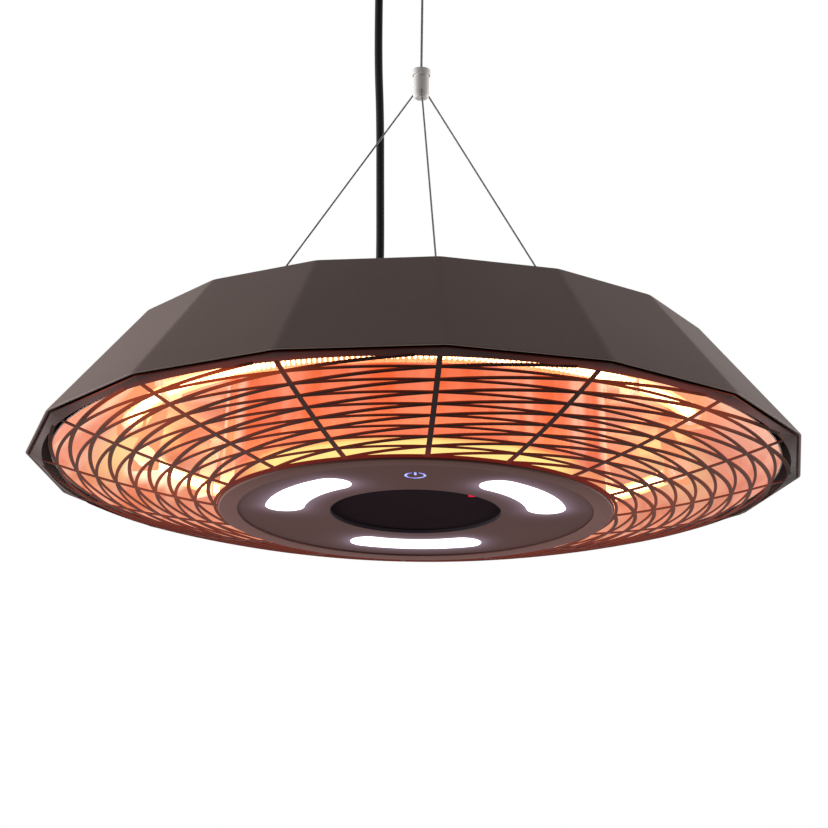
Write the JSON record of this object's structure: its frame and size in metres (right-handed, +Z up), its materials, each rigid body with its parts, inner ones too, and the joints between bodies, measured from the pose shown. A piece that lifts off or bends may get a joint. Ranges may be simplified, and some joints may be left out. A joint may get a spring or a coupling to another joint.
{
  "type": "hanging patio heater",
  "caption": "Electric patio heater with a faceted sheet-metal shade, domed lattice guard and lamp disc, hung by leg wires and a main wire from a ceiling fitting with a canopy.",
  "frame": {"origin": "centre of the ceiling plate's top face, on the hanging axis", "axes": "+Z up out of the ceiling, -Y to the front of the heater with the touch key, +X to the right as seen from the front"},
  "size_m": [0.6, 0.6, 0.5186],
  "materials": {
    "steel": "satin stainless steel",
    "canopy_paint": "dark brown powder coat",
    "black_plastic": "black moulded plastic",
    "terminal_plastic": "pale moulded plastic",
    "cord_rubber": "black rubber sheath",
    "brown_paint": "dark brown powder coat",
    "zinc_sheet": "zinc-plated sheet",
    "mirror_sheet": "polished aluminium sheet",
    "quartz": "clear quartz",
    "coil_metal": "glowing resistance wire",
    "ceramic": "white ceramic",
    "board": "circuit board",
    "opal": "opal diffuser",
    "icon_blue": "blue light guide",
    "smoked": "smoked acrylic",
    "red_lens": "red light"
  },
  "bodies": {
    "ceiling": {"ceiling_plate": "steel"},
    "swivel": {"swivel_fork": "steel", "swing_pin": "steel", "pin_clip": "steel"},
    "heater": {"main_eye": "steel", "main_wire": "steel", "wire_stop": "steel", "coupler_cap": "steel", "coupler_body": "steel", "leg_wire_front": "steel", "leg_wire_right": "steel", "leg_wire_left": "steel", "leg_stop_front": "steel", "leg_stop_right": "steel", "leg_stop_left": "steel", "canopy_cup": "canopy_paint", "canopy_collar": "canopy_paint", "canopy_bushing": "black_plastic", "canopy_bushing_nut": "black_plastic", "cord_gland": "black_plastic", "cord_gland_nut": "black_plastic", "junction_box": "black_plastic", "leg_bush_front": "black_plastic", "leg_bush_right": "black_plastic", "leg_bush_left": "black_plastic", "lamp_driver": "black_plastic", "canopy_terminals": "terminal_plastic", "cord_terminals": "terminal_plastic", "power_cord": "cord_rubber", "shade": "brown_paint", "guard": "brown_paint", "lamp_trim_ring": "brown_paint", "lamp_face": "brown_paint", "window_well": "brown_paint", "support_plate": "zinc_sheet", "heat_shield": "zinc_sheet", "upper_spacers": "zinc_sheet", "lower_spacers": "zinc_sheet", "element_holders": "zinc_sheet", "lamp_tub": "zinc_sheet", "reflector_dish": "mirror_sheet", "reflector_skirt": "mirror_sheet", "element_tube_front": "quartz", "element_tube_rear": "quartz", "element_coil_front": "coil_metal", "element_coil_rear": "coil_metal", "element_ends": "ceramic", "element_clips": "ceramic", "control_board": "board", "led_board": "board", "touch_board": "board", "led_window_rear": "opal", "led_window_right": "opal", "led_window_left": "opal", "touch_icon": "icon_blue", "centre_window": "smoked", "indicator": "red_lens"}
  },
  "joints": [
    {"name": "turn", "type": "hinge", "parent": "ceiling", "child": "swivel", "pos_m": [0, 0, 0], "axis": [0, 0, 1], "range_deg": [-60, 60]},
    {"name": "swing", "type": "hinge", "parent": "swivel", "child": "heater", "pos_m": [0, 0, -0.022], "axis": [1, 0, 0], "range_deg": [-10, 10]}
  ]
}
